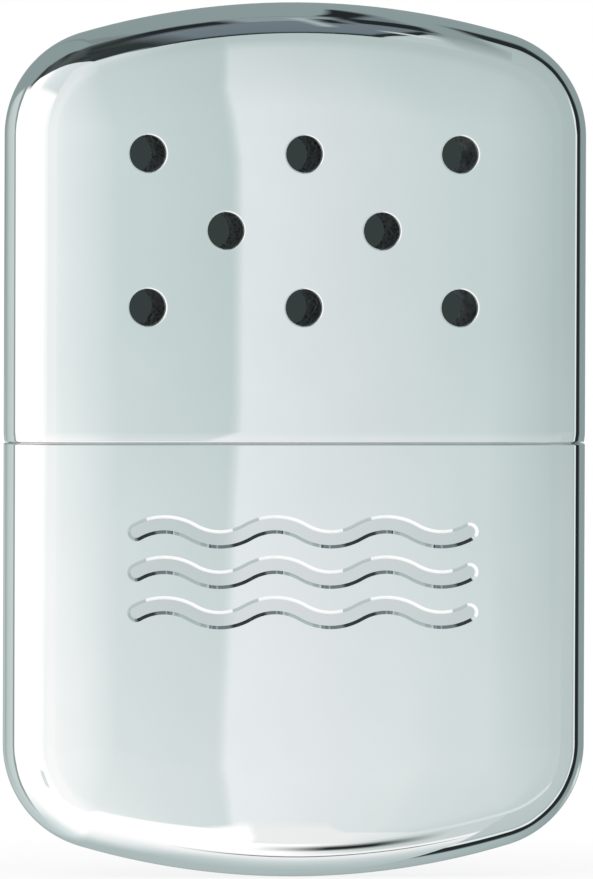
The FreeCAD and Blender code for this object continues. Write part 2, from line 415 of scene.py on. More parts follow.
class WARMER_OT_finishes(bpy.types.Operator):
    """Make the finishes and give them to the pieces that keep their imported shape"""

    bl_idname = "warmer.finishes"
    bl_label = "Finishes"

    def execute(self, context):
        inner = context.scene.inner_finish
        for make in (bright_plating, satin_inside, drawn_nickel, heat_tinted_steel, gauze_wire):
            make()
        fibrous("wick_felt", inner.felt, fibre_scale=2.2, depth=0.12 * MM)
        fibrous("wadding_cotton", inner.cotton, fibre_scale=1.2, depth=0.3 * MM)
        plan = {
            "tank_lid": "drawn_nickel",
            "filler_neck": "drawn_nickel",
            "neck_screen": "gauze_wire",
            "burner_skirt": "heat_tinted_steel",
            "burner_cage": "heat_tinted_steel",
        }
        for node, finish in plan.items():
            give_finish(frame["nodes"][node], finish)
        return {"FINISHED"}


# --- Modelling helpers ---


def focus(obj):
    """Makes one object the only selected and active one."""
    bpy.ops.object.select_all(action="DESELECT")
    obj.select_set(True)
    bpy.context.view_layer.objects.active = obj


@contextmanager
def editing(obj, mode="VERT"):
    """Edit mode on one object, with nothing selected."""
    focus(obj)
    bpy.ops.object.mode_set(mode="EDIT")
    bpy.ops.mesh.select_mode(type=mode)
    bpy.ops.mesh.select_all(action="DESELECT")
    yield
    bpy.ops.object.mode_set(mode="OBJECT")


def pick_all():
    bpy.ops.mesh.select_all(action="SELECT")


def pick(kind, test):
    """Selects the verts, edges or faces of the edited mesh that pass a test."""
    data = bpy.context.object.data
    mesh = bmesh.from_edit_mesh(data)
    for part in getattr(mesh, kind):
        part.select_set(bool(test(part)))
    mesh.select_flush_mode()
    bmesh.update_edit_mesh(data)


def pick_verts(test):
    """Selects the vertices of the edited mesh whose place passes a test."""
    pick("verts", lambda vert: test(vert.co))


def place_applied(obj, name):
    """Names a fresh primitive and puts its place into its mesh."""
    obj.name = name
    obj.data.name = name
    focus(obj)
    bpy.ops.object.transform_apply(location=True, rotation=True, scale=True)
    return obj


def lone_vertex(name, place):
    """One vertex at a place, to be swept into an outline."""
    bpy.ops.mesh.primitive_plane_add(size=MM, location=place)
    obj = place_applied(bpy.context.object, name)
    with editing(obj):
        pick_all()
        bpy.ops.mesh.merge(type="CENTER")
    return obj


def extrude(move):
    bpy.ops.mesh.extrude_region_move(TRANSFORM_OT_translate={"value": move})


def spin(steps, angle, centre, axis):
    """Sweeps the selection round an axis, counter-clockwise as seen from the axis' tip."""
    bpy.ops.mesh.spin(steps=steps, angle=-angle, center=centre, axis=axis)


def apply_modifier(obj, kind, **settings):
    focus(obj)
    modifier = obj.modifiers.new(kind.lower(), kind)
    for key, value in settings.items():
        setattr(modifier, key, value)
    bpy.ops.object.modifier_apply(modifier=modifier.name)


def face_outwards():
    pick_all()
    bpy.ops.mesh.normals_make_consistent(inside=False)


def tidy_mesh(obj):
    """Merges doubles and turns the faces outwards."""
    with editing(obj):
        pick_all()
        bpy.ops.mesh.remove_doubles(threshold=2 * TINY)
        face_outwards()


def smooth(obj, angle=20):
    """Smooth shading between faces that meet gently, led by the larger faces."""
    focus(obj)
    bpy.ops.object.shade_smooth_by_angle(angle=math.radians(angle))
    apply_modifier(obj, "WEIGHTED_NORMAL", weight=100, keep_sharp=True)


def join(objects, name):
    first = objects[0]
    focus(first)
    for obj in objects[1:]:
        obj.select_set(True)
    if len(objects) > 1:
        bpy.ops.object.join()
    first.name = name
    first.data.name = name
    return first


def copy_of(obj, name, place=(0, 0, 0)):
    """A copy with a mesh of its own, whose origin lies at a place."""
    copy = bpy.data.objects.new(name, obj.data.copy())
    bpy.context.collection.objects.link(copy)
    copy.data.transform(Matrix.Translation(place))
    return copy


def cut(obj, tool):
    apply_modifier(obj, "BOOLEAN", operation="DIFFERENCE", solver="EXACT", object=tool)
    bpy.data.objects.remove(tool)


def parity(number):
    return 1 if number % 2 == 0 else -1


def stand_for(piece, body, node):
    """Hands a finished piece to the frame."""
    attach(piece, body)
    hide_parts(node)


# --- Case ---


def case_sizes():
    """Sizes of the case's envelope that follow from its driving sizes."""
    shape = bpy.context.scene.case_shape
    flank, corner = shape.flank_radius, shape.corner_radius
    corner_x = HALF_WIDTH - corner
    reach = math.sqrt((shape.crown_radius - corner) ** 2 - corner_x**2)
    depth = flank - HALF_THICKNESS + shape.side_band / 2
    edge = (flank**2 - corner**2 - depth**2) / (2 * (flank - corner))
    edge_centre = corner - edge
    flank_end = math.asin(edge_centre / (flank - edge))
    turn = math.atan2(reach, corner_x)
    corner_z = CASE_HEIGHT - shape.crown_radius + reach
    return corner_x, corner_z, edge_centre, flank_end, turn


def border_line(name, low):
    """The case's border seen from above: flank, rolled edge, band, rolled edge and flank."""
    flank_steps = 12
    edge_steps = 24
    shape = bpy.context.scene.case_shape
    corner_x, _, edge_centre, flank_end, _ = case_sizes()
    up = (0, 0, 1)
    roll = math.pi / 2 - flank_end
    flank_y = HALF_THICKNESS - shape.flank_radius
    edge_x = corner_x + edge_centre
    line = lone_vertex(name, (corner_x, -HALF_THICKNESS, low))
    with editing(line):
        pick_all()
        spin(flank_steps, flank_end, (corner_x, -flank_y, low), up)
        spin(edge_steps, roll, (edge_x, -shape.side_band / 2, low), up)
        extrude((0, shape.side_band, 0))
        spin(edge_steps, roll, (edge_x, shape.side_band / 2, low), up)
        spin(flank_steps, flank_end, (corner_x, flank_y, low), up)
    return line


def open_shell(name, mouth, way):
    """Half of the case as one thin sheet, from its mouth up (way 1) or down (way -1)."""
    corner_steps = 40
    crown_steps = 14
    shape = bpy.context.scene.case_shape
    corner_x, corner_z, _, _, turn = case_sizes()
    crown_z = CASE_HEIGHT - shape.crown_radius
    if way < 0:
        corner_z = CASE_HEIGHT - corner_z
        crown_z = CASE_HEIGHT - crown_z
    out_of_front = (0, -1, 0)
    shell = border_line(name, mouth)
    with editing(shell):
        pick_all()
        extrude((0, 0, corner_z - mouth))
        spin(corner_steps, way * turn, (corner_x, 0, corner_z), out_of_front)
        spin(crown_steps, way * (math.pi / 2 - turn), (0, 0, crown_z), out_of_front)
    apply_modifier(shell, "MIRROR", merge_threshold=2 * TINY)
    with editing(shell):
        for side in (-1, 1):
            pick_verts(lambda co: abs(co.y - side * HALF_THICKNESS) < TINY)
            bpy.ops.mesh.edge_face_add()
    tidy_mesh(shell)
    return shell


def turn_in_mouth(shell, mouth):
    """Draws the lowest stretch of the sheet in towards its mouth edge."""
    shape = bpy.context.scene.case_shape
    rings = 6
    heights = [mouth + shape.mouth_stretch * ring / rings for ring in range(rings + 1)]
    for height in heights[1:]:
        with editing(shell):
            pick_all()
            bpy.ops.mesh.bisect(plane_co=(0, 0, height), plane_no=(0, 0, 1), threshold=TINY)
    for ring, height in enumerate(heights[:-1]):
        pull = shape.mouth_turn * (1 - ring / rings) ** 2
        factors = (1 - pull / HALF_WIDTH, 1 - pull / HALF_THICKNESS, 1)
        with editing(shell):
            pick_verts(lambda co: abs(co.z - height) < TINY)
            bpy.ops.transform.resize(value=factors, center_override=(0, 0, height))


def give_wall(shell):
    """Turns the sheet into a wall: plated outside, satin inside, and plated at the rim."""
    shape = bpy.context.scene.case_shape
    for finish in ("bright_plating", "satin_inside", "bright_plating"):
        shell.data.materials.append(bpy.data.materials[finish])
    apply_modifier(
        shell,
        "SOLIDIFY",
        thickness=shape.wall,
        offset=-1,
        use_even_offset=True,
        material_offset=1,
        material_offset_rim=2,
    )


def round_mouth(shell):
    """Rounds the outer edge of the mouth: the edge between the outer side and the rim."""
    shape = bpy.context.scene.case_shape

    def outer_rim(edge):
        return {face.material_index for face in edge.link_faces} == {0, 2}

    with editing(shell, "EDGE"):
        pick("edges", outer_rim)
        settings = {"offset": shape.mouth_radius, "segments": 6, "clamp_overlap": True}
        bpy.ops.mesh.bevel(affect="EDGES", **settings)


def vent_places():
    """X and Z of every vent in a broad face."""
    shape = bpy.context.scene.case_shape
    for row, vents in enumerate(VENT_ROWS):
        height = shape.vent_height + ((len(VENT_ROWS) - 1) / 2 - row) * shape.vent_pitch_z
        for column in range(vents):
            yield (column - (vents - 1) / 2) * shape.vent_pitch_x, height


def vent_punch():
    """Punch whose two ends flare, so that each vent gets a rounded lip on the outside."""
    shape = bpy.context.scene.case_shape
    radius = shape.vent_diameter / 2
    waist = HALF_THICKNESS - shape.vent_lip
    lip_steps = 6
    round_steps = 72
    punch = lone_vertex("punch", (radius, 0, 0))
    with editing(punch):
        pick_all()
        extrude((0, -waist, 0))
        spin(lip_steps, math.pi / 2, (radius + shape.vent_lip, -waist, 0), (0, 0, 1))
        extrude((0, -HALF_THICKNESS, 0))
        pick_all()
        spin(round_steps, 2 * math.pi, (0, 0, 0), (0, 1, 0))
        pick_verts(lambda co: co.y < -HALF_THICKNESS - MM)
        bpy.ops.mesh.remove_doubles(threshold=TINY)
        bpy.ops.mesh.edge_face_add()
    apply_modifier(punch, "MIRROR", use_axis=(False, True, False), merge_threshold=2 * TINY)
    tidy_mesh(punch)
    return punch


def pierce_vents(shell):
    """Punches the vents through both walls."""
    punch = vent_punch()
    punches = [copy_of(punch, "punch", (x, 0, z)) for x, z in vent_places()]
    bpy.data.objects.remove(punch)
    cut(shell, join(punches, "punches"))


def ribbon_tool(middle_z):
    """A wavy ribbon with round ends and sloped sides, as a tool that is pressed into the front."""
    motif = bpy.context.scene.motif_shape
    lean = motif.lean
    half_wave = 2 * motif.bend * math.sin(lean)
    steps = 14
    start = Vector((-motif.humps * half_wave / 2, -HALF_THICKNESS, middle_z))
    across = Vector((-math.sin(lean), 0, math.cos(lean))) * motif.width / 2
    into_case = Vector((0, 1, 0))

    def on_line(co, place, direction):
        return (co - place).cross(direction).length < TINY * motif.width

    def ahead(co, place, direction):
        return (co - place).dot(direction) > -TINY * MM

    tool = lone_vertex("ribbon", start - across)
    with editing(tool):
        pick_all()
        extrude(across)
        extrude(across)
        pick_verts(lambda co: ahead(co, start, across))
        spin(steps, -math.pi, start, into_case)
        pick_verts(lambda co: on_line(co, start, across))
        for hump in range(motif.humps):
            side = parity(hump)
            at = start + Vector((hump * half_wave, 0, 0))
            centre = at + motif.bend * Vector((math.sin(lean), 0, -side * math.cos(lean)))
            spin(steps, side * 2 * lean, centre, into_case)
        end = Vector((-start.x, start.y, middle_z))
        tip = across if motif.humps % 2 == 0 else across.reflect(Vector((1, 0, 0)))
        pick_verts(lambda co: on_line(co, end, tip) and ahead(co, end, tip))
        spin(steps, math.pi, end, into_case)
        pick_all()
        bpy.ops.mesh.remove_doubles(threshold=TINY)
        face_outwards()
        extrude((0, -2 * motif.depth, 0))
        face_outwards()
    with editing(tool, "FACE"):
        pick("faces", lambda face: face.normal.y > 0.99)
        bpy.ops.mesh.inset(thickness=motif.slope, depth=motif.depth, use_even_offset=True)
    return tool


def press_motif(shell):
    """Presses the wavy ribbons into the tank's front."""
    motif = bpy.context.scene.motif_shape
    rows = [index - (motif.ribbons - 1) / 2 for index in range(motif.ribbons)]
    tools = [ribbon_tool(motif.height + row * motif.pitch) for row in rows]
    cut(shell, join(tools, "ribbons"))


class WARMER_OT_cap(bpy.types.Operator):
    """Model the cap: a drawn half shell with eight vents in each broad face"""

    bl_idname = "warmer.cap"
    bl_label = "Cap"

    def execute(self, context):
        cap = open_shell("cap_case", CAP_MOUTH, 1)
        turn_in_mouth(cap, CAP_MOUTH)
        give_wall(cap)
        round_mouth(cap)
        pierce_vents(cap)
        smooth(cap)
        stand_for(cap, "cap", "cap_shell")
        return {"FINISHED"}


class WARMER_OT_tank(bpy.types.Operator):
    """Model the tank: a drawn half shell with a pressed motif on its front"""

    bl_idname = "warmer.tank"
    bl_label = "Tank"

    def execute(self, context):
        tank = open_shell("tank_case", TANK_MOUTH, -1)
        give_wall(tank)
        round_mouth(tank)
        press_motif(tank)
        smooth(tank)
        stand_for(tank, "tank", "tank_shell")
        return {"FINISHED"}


# --- Soft pieces and gauzes ---


def node_copy(node, name):
    """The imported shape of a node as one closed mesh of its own."""
    obj = copy_of(frame["nodes"][node], name)
    with editing(obj):
        pick_all()
        bpy.ops.mesh.remove_doubles(threshold=2 * TINY)
    return obj


def soften(obj, voxel, lump_size, rounds):
    """Rounds a block's edges as fibres do, draws it in a little, and makes it uneven."""
    shape = bpy.context.scene.burner_shape
    apply_modifier(obj, "REMESH", mode="VOXEL", voxel_size=voxel)
    apply_modifier(obj, "SMOOTH", factor=0.5, iterations=rounds)
    apply_modifier(obj, "DISPLACE", strength=-shape.slack, mid_level=0)
    clouds = bpy.data.textures.new(obj.name, "CLOUDS")
    clouds.noise_scale = lump_size
    clouds.noise_depth = 2
    lumps = {"strength": shape.lumps, "mid_level": 1}
    apply_modifier(obj, "DISPLACE", texture=clouds, texture_coords="GLOBAL", **lumps)
    focus(obj)
    bpy.ops.object.shade_smooth()


def hand_over_soft(obj, body, node):
    """Hands a soft piece to the frame."""
    stand_for(obj, body, node)


def slit_felt(felt):
    """Cuts the slits between the layers of the folded felt, from above."""
    shape = bpy.context.scene.burner_shape
    low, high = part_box("neck_wick")
    pitch = (high.y - low.y) / shape.felt_layers
    right_through = high.x - low.x + 2 * MM
    for index in range(1, shape.felt_layers):
        place = (0, low.y + index * pitch, high.z)
        bpy.ops.mesh.primitive_cube_add(size=1, location=place)
        slit = bpy.context.object
        slit.scale = (right_through, shape.slit_width, 2 * shape.slit_depth)
        cut(felt, place_applied(slit, "slit"))


class WARMER_OT_soft(bpy.types.Operator):
    """Model the soft pieces: the tank's wadding, the wick's felt and the glass fibre mat"""

    bl_idname = "warmer.soft"
    bl_label = "Soft pieces"

    def execute(self, context):
        wadding = node_copy("tank_wadding", "wadding")
        soften(wadding, voxel=0.8 * MM, lump_size=5 * MM, rounds=6)
        give_finish(wadding, "wadding_cotton")
        hand_over_soft(wadding, "tank", "tank_wadding")
        felt = node_copy("neck_wick", "wick")
        slit_felt(felt)
        soften(felt, voxel=0.2 * MM, lump_size=1.5 * MM, rounds=5)
        give_finish(felt, "wick_felt")
        hand_over_soft(felt, "tank", "neck_wick")
        mat = node_copy("catalyst_pad", "catalyst_mat")        # keeps its packed finish
        soften(mat, voxel=0.2 * MM, lump_size=1.2 * MM, rounds=5)
        hand_over_soft(mat, "burner", "catalyst_pad")
        return {"FINISHED"}


def half_width_at(along, straight, radius):
    """Half the width of a flat oval at a place along it."""
    beyond = max(abs(along) - straight, 0)
    return math.sqrt(max(radius**2 - beyond**2, 0))


def woven_wire(humps, first, along_x):
    """One wire through the origin that goes over and under the wires it crosses."""
    shape = bpy.context.scene.burner_shape
    rise = shape.wire / 2
    radius = (shape.mesh**2 / 4 + rise**2) / (2 * rise)
    lean = math.asin(shape.mesh / 2 / radius)
    ahead = Vector((1, 0, 0)) if along_x else Vector((0, 1, 0))
    axis = Vector((0, 1, 0)) if along_x else Vector((-1, 0, 0))
    tilt = (0, math.pi / 2, 0) if along_x else (math.pi / 2, 0, 0)
    start = -ahead * humps * shape.mesh / 2
    sides = 6
    steps = 2
    bpy.ops.mesh.primitive_circle_add(vertices=sides, radius=rise, location=start, rotation=tilt)
    wire = place_applied(bpy.context.object, "wire")
    with editing(wire):
        pick_all()
        for hump in range(humps):
            side = first * parity(hump)
            middle = start + ahead * (hump + 0.5) * shape.mesh
            middle.z = -side * (radius - rise)
            spin(steps, side * 2 * lean, middle, axis)
        pick_all()
        bpy.ops.mesh.fill_holes(sides=sides)
    return wire


def lay_wires(places, along_x):
    """Copies of a few wires, one at each place.

    A place has a centre, a reach to both sides and its number in the row.
    """
    shape = bpy.context.scene.burner_shape
    models = {}
    laid = []
    for centre, reach, number in places:
        half = int(reach / shape.mesh - 0.5)
        if half < 0:
            continue
        first = parity(number + half) * (1 if along_x else -1)
        key = (half, first)
        if key not in models:
            models[key] = woven_wire(2 * half + 1, first, along_x)
        laid.append(copy_of(models[key], "wire", centre))
    for model in models.values():
        bpy.data.objects.remove(model)
    return laid


def gauze_rim(name, low, high):
    """Flat oval rim of a gauze."""
    shape = bpy.context.scene.burner_shape
    radius = (high.y - low.y) / 2
    straight = (high.x - low.x) / 2 - radius
    thickness = high.z - low.z
    end_steps = 20
    up = (0, 0, 1)
    rim = lone_vertex(name, (straight, -radius, low.z))
    with editing(rim):
        pick_all()
        extrude((0, shape.gauze_rim, 0))
        pick_all()
        spin(end_steps, math.pi, (straight, 0, low.z), up)
        extrude((-2 * straight, 0, 0))
        spin(end_steps, math.pi, (-straight, 0, low.z), up)
        extrude((2 * straight, 0, 0))
    tidy_mesh(rim)
    apply_modifier(rim, "SOLIDIFY", thickness=thickness, offset=0)
    rim.data.transform(Matrix.Translation((0, 0, thickness / 2)))
    apply_modifier(rim, "BEVEL", width=0.06 * MM, segments=2, limit_method="ANGLE")
    return rim


def woven_gauze(node, name):
    """Plain-woven wire cloth in a pressed rim."""
    shape = bpy.context.scene.burner_shape
    low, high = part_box(node)
    middle_z = (low.z + high.z) / 2
    radius = (high.y - low.y) / 2 - shape.gauze_rim / 4
    straight = (high.x - low.x) / 2 - (high.y - low.y) / 2
    columns = int((straight + radius) / shape.mesh)
    rows = int(radius / shape.mesh)
    across = []
    for column in range(-columns, columns + 1):
        x = column * shape.mesh
        across.append((Vector((x, 0, middle_z)), half_width_at(x, straight, radius), column))
    along = []
    for row in range(-rows, rows + 1):
        y = row * shape.mesh
        along.append((Vector((0, y, middle_z)), straight + half_width_at(y, 0, radius), row))
    rim = gauze_rim(name, low, high)
    return join([rim, *lay_wires(across, False), *lay_wires(along, True)], name)


class WARMER_OT_gauzes(bpy.types.Operator):
    """Weave the two gauzes that hold the glass fibre mat"""

    bl_idname = "warmer.gauzes"
    bl_label = "Gauzes"

    def execute(self, context):
        for node in ("lower_gauze", "upper_gauze"):
            gauze = woven_gauze(node, node.replace("_gauze", "_weave"))
            give_finish(gauze, "gauze_wire")
            smooth(gauze, 40)
            stand_for(gauze, "burner", node)
        return {"FINISHED"}


# --- Stage ---


def hide_from(obj, *rays):
    for ray in rays:
        setattr(obj, "visible_" + ray, False)


def only_in_reflections(obj):
    """Seen by the metal, and by nothing else."""
    hide_from(obj, "camera", "diffuse", "transmission", "volume_scatter", "shadow")


def painted(obj, name):
    """Names a fresh primitive, and gives the Shade of a material of its own."""
    place_applied(obj, name)
    root = new_material(name)
    give_finish(obj, name)
    return root


def glow(root, tone, cover=None):
    """Ends a material as a light of its own, which is clear where the cover is 0."""
    shader = root.node("ShaderNodeEmission", {"Color": tone, "Strength": 1.0})
    if cover is not None:
        clear = root.node("ShaderNodeBsdfTransparent")
        shader = root.node("ShaderNodeMixShader", {0: cover, 1: clear, 2: shader})
    surface(root, shader)


def front_card():
    """Large soft card before the front: paler to the left, with one sharp edge."""
    left, right = -0.122, 0.30
    foot, head = -0.15, 0.287
    away = 0.2
    middle = ((left + right) / 2, -away, (foot + head) / 2)
    bpy.ops.mesh.primitive_plane_add(size=1, location=middle, rotation=UPRIGHT)
    card = bpy.context.object
    card.scale = (right - left, head - foot, 1)
    root = painted(card, "front_card")
    x, _, z = parts_of(root.node("ShaderNodeTexCoord", output="Object"))
    lean = level(z, 0.082, 0.106, 0.0, 0.0034) + level(z, 0.106, 0.214, 0.0, 0.0072)
    lean = lean + level(z, 0.05, -0.03, 0.0, 0.0034)
    across = level(x + lean + 0.0021, -0.05, 0.15)
    stops = [
        (0.00, (0.875, 0.91, 0.91)),
        (0.05, (0.83, 0.88, 0.88)),
        (0.09, (0.79, 0.85, 0.85)),
        (0.17, (0.72, 0.79, 0.79)),
        (0.25, (0.645, 0.73, 0.73)),
        (0.31, (0.595, 0.685, 0.685)),
        (0.366, (0.53, 0.625, 0.625)),
        (0.370, (0.775, 0.83, 0.845)),
        (0.43, (0.70, 0.755, 0.77)),
        (0.52, (0.585, 0.675, 0.675)),
        (0.60, (0.56, 0.65, 0.65)),
        (0.76, (0.48, 0.575, 0.57)),
        (1.0, (0.455, 0.55, 0.545)),
    ]
    tone = ramp(across, stops)
    low = level(z, 0.065, 0.0, 0.0, 0.32) * level(x, 0.045, 0.066, 1.0, 0.6)
    tone = mix(low, tone, (1, 1, 1, 1))
    high = level(z, 0.09, 0.14, 0.0, 0.5) + level(z, 0.14, 0.21, 0.0, 0.42)
    high = high * level(x, -0.03, 0.005, 0.3, 1.0)
    tone = mix(high, tone, (0.46, 0.55, 0.545, 1))
    fade = level(z, 0.05, 0.0) * level(x, 0.005, -0.06)
    tone = mix(fade, tone, (1, 1, 1, 1))
    drop = z + level(x, 0.02, -0.046, 0.0, 0.09) + level(x, 0.035, 0.068, 0.0, 0.08)
    under = mix(level(x, 0.021, 0.0225), (1.06, 1.06, 1.06, 1), (0.87, 0.89, 0.88, 1))
    under = mix(level(x, 0.045, 0.075), under, (0.70, 0.77, 0.77, 1))
    tone = mix(level(drop, -0.033, -0.0385), tone, under)
    glow(root, tone)
    only_in_reflections(card)


def side_card():
    """Soft card, low at the left, which the front shows to an eye high at the right."""
    toward = Vector((-0.64, -0.64, -0.42)).normalized()
    away = 1.0
    bpy.ops.mesh.primitive_plane_add(size=0.24)
    card = bpy.context.object
    turned = toward.to_track_quat("Z", "Y").to_matrix().to_4x4()
    card.matrix_world = Matrix.Translation(MIDDLE + toward * away) @ turned
    root = painted(card, "side_card")
    x, y, z = parts_of(root.node("ShaderNodeTexCoord", output="Object"))
    along = (x - y) * math.sqrt(0.5)
    up = z - (MIDDLE.z + away * toward.z)
    across = along + level(up, -0.06, 0.06, 0.0, 0.016)
    tone = mix(level(across, -0.048, 0.002), (0.93, 0.95, 0.95, 1), (0.60, 0.68, 0.675, 1))
    tone = mix(level(across, 0.002, 0.003), tone, (0.86, 0.90, 0.90, 1))
    tone = mix(level(across, 0.003, 0.055), tone, (0.62, 0.70, 0.70, 1))
    border = window(along, -0.0625, 0.0625, 0.0125) * window(up, -0.085, 0.085, 0.015)
    glow(root, tone, border)
    only_in_reflections(card)


def swing_ramp(swing, stops):
    """Tones by the angle away from the front, in degrees."""
    return ramp(swing * (1 / 180), [(angle / 180, tone) for angle, tone in stops])


def dome():
    """Painted ball round the case, which only the metal shows.

    Swing is the angle away from the front. Turn is the way round the front, counter-clockwise from
    the lower right, so that each stretch of the case's outline shows a stretch of its own.
    """
    bpy.ops.mesh.primitive_uv_sphere_add(segments=96, ring_count=48, radius=1.2, location=MIDDLE)
    ball = bpy.context.object
    root = painted(ball, "dome")
    place = root.node("ShaderNodeTexCoord", output="Object")
    ray = place.vector_math("SUBTRACT", MIDDLE).vector_math("NORMALIZE")
    wobble = noise(root, ray, 3.0, detail=2.0) - 0.5
    studio = bpy.context.scene.studio
    inputs = {"Vector": ray, "Angle": studio.azimuth}
    ray = root.node("ShaderNodeVectorRotate", inputs, {"rotation_type": "Z_AXIS"})
    x, y, z = parts_of(ray)
    to_degrees = 180 / math.pi
    lower_right = 70.0
    swing = (y * -1.0).math("ARCCOSINE") * to_degrees + 9.0 * wobble
    turn = (z.math("ARCTAN2", x) * to_degrees + lower_right).math("FLOORED_MODULO", 360.0)
    dark = (0.018, 0.022, 0.024)
    grey = (0.262, 0.33, 0.33)
    white = (1.07, 1.06, 1.06)
    # Swing and tone, in a list for each stretch of the outline
    right = [
        (0, (0.465, 0.555, 0.55)),
        (84, (0.42, 0.51, 0.505)),
        (85.5, (0.80, 0.88, 0.88)),
        (89, (0.90, 0.95, 0.95)),
        (91, dark),
        (102, dark),
        (104, (0.10, 0.13, 0.13)),
        (107, grey),
    ]
    quiet = [(0, (0.5, 0.58, 0.58)), (45, (0.48, 0.56, 0.56)), (75, grey)]
    top = [
        (42.5, (0.5, 0.58, 0.58)),
        (43.5, dark),
        (47, dark),
        (50, (0.15, 0.19, 0.215)),
        (74, (0.17, 0.21, 0.235)),
        (79, dark),
        (88, dark),
        (91, grey),
    ]
    corner = [
        (0, (0.60, 0.68, 0.68)),
        (40, (0.66, 0.73, 0.73)),
        (66, (0.72, 0.79, 0.79)),
        (78, (0.80, 0.86, 0.86)),
        (88, white),
    ]
    left = [
        (0, (0.86, 0.91, 0.91)),
        (33, (0.88, 0.93, 0.93)),
        (46, white),
        (120, white),
        (122, (0.20, 0.25, 0.25)),
        (125, (0.27, 0.33, 0.33)),
        (129, (0.60, 0.68, 0.66)),
        (150, (0.52, 0.60, 0.58)),
        (170, (0.34, 0.41, 0.40)),
    ]
    low_left = [
        (92, white),
        (108, (0.76, 0.83, 0.83)),
        (123, (0.61, 0.69, 0.69)),
        (140, (0.52, 0.60, 0.60)),
    ]
    low = [
        (66, white),
        (88, (0.60, 0.67, 0.67)),
        (99, (0.50, 0.585, 0.585)),
        (116, (0.44, 0.52, 0.52)),
        (150, (0.42, 0.50, 0.50)),
    ]
    tone = swing_ramp(swing, right)
    upper_right = level(turn, 84, 96) * window(swing, 84, 90.5, 0.8)
    tone = mix(upper_right, tone, (0.40, 0.49, 0.485, 1))
    beside_tank = level(parts_of(place)[2], 0.065, 0.0, 0.0, 0.15) * level(swing, 82, 79)
    tone = mix(beside_tank, tone, (1, 1, 1, 1))
    shorter = level(turn, 150.5, 143.5, 0.0, 27)
    upper = ((137, 1, quiet, swing), (143, 1, top, swing - shorter), (171, 1.5, corner, swing))
    for begin, soft, stops, angle in upper:
        tone = mix(level(turn, begin - soft, begin + soft), tone, swing_ramp(angle, stops))
    rear = level(turn, 45, 49.6, 0.35, 0.6) + level(turn, 49.6, 50.1, 0.0, 0.38)
    rear = rear * window(turn, 41, 57, 2) * window(swing, 122, 144, 4)
    tone = mix(rear, tone, (0.70, 0.78, 0.77, 1))
    round_corner = level(turn, 177, 213)
    above_patch = swing - (48 + 60 * round_corner)
    past_patch = swing - (89 + 24 * round_corner)
    near_corner = level(turn, 165, 169)
    patch = mix(level(wobble, -0.1, 0.1), (0.03, 0.038, 0.038, 1), (0.075, 0.09, 0.09, 1))
    tone = mix(near_corner * level(above_patch, -1.0, 1.0), tone, patch)
    tone = mix(near_corner * level(past_patch, -1.0, 3.0), tone, (*grey, 1))
    for begin, soft, stops in ((215, 2, left), (298, 12, low_left), (334, 6, low)):
        tone = mix(level(turn, begin - soft, begin + soft), tone, swing_ramp(swing, stops))
    tone = mix(level(turn, 343, 350) * level(swing, 68, 62), tone, (0.60, 0.67, 0.665, 1))
    tone = mix(level(turn, 45, 5) * level(swing, 104, 107), tone, (0.41, 0.49, 0.49, 1))
    slate = (0.27, 0.32, 0.34)
    streaks = (
        (window(turn, 149.2, 158.5) * window(swing, 76, 90), slate),
        (window(turn, 152.2, 153.5, 0.5) * window(swing, 62, 86), (0.38, 0.46, 0.46)),
        (window(turn, 149.9, 151.9, 0.7) * window(swing, 72, 83), dark),
        (window(turn, 142, 149, 0.7) * window(swing, 76, 88), dark),
        (window(turn, 144, 148) * window(swing, 60, 63), (0.66, 0.74, 0.74)),
        (window(turn, 343, 353, 3) * window(swing, 46, 55, 3), dark),
        (window(turn, 338, 358, 3) * window(swing, 70, 72), dark),
    )
    for streak, shown in streaks:
        tone = mix(streak, tone, (*shown, 1))
    glow(root, tone)
    only_in_reflections(ball)


def shade_behind_vents():
    """Dark discs over the rear vents, seen only while the closed cap stands round them."""
    shape = bpy.context.scene.case_shape
    gap = 0.05 * MM
    overlap = 0.15 * MM
    radius = shape.vent_diameter / 2 + overlap
    discs = []
    for x, z in vent_places():
        at = (x, HALF_THICKNESS - shape.wall - gap, z)
        bpy.ops.mesh.primitive_circle_add(
            vertices=32, radius=radius, fill_type="NGON", location=at, rotation=UPRIGHT
        )
        discs.append(bpy.context.object)
    shade = join(discs, "vent_shade")
    root = painted(shade, "vent_shade")
    reach = {"Distance": 0.03}
    open_air = root.node("ShaderNodeAmbientOcclusion", reach, {"samples": 32}, output="AO")
    glow(root, (0.036, 0.047, 0.047, 1), level(open_air, 0.45, 0.30))
    hide_from(shade, "diffuse", "glossy", "transmission", "shadow")


def seen_rays(root):
    """1 for camera, glossy and transmission rays."""
    kinds = ("Camera", "Glossy", "Transmission")
    rays = [root.node("ShaderNodeLightPath", output="Is %s Ray" % kind) for kind in kinds]
    return rays[0].math("MAXIMUM", rays[1]).math("MAXIMUM", rays[2])


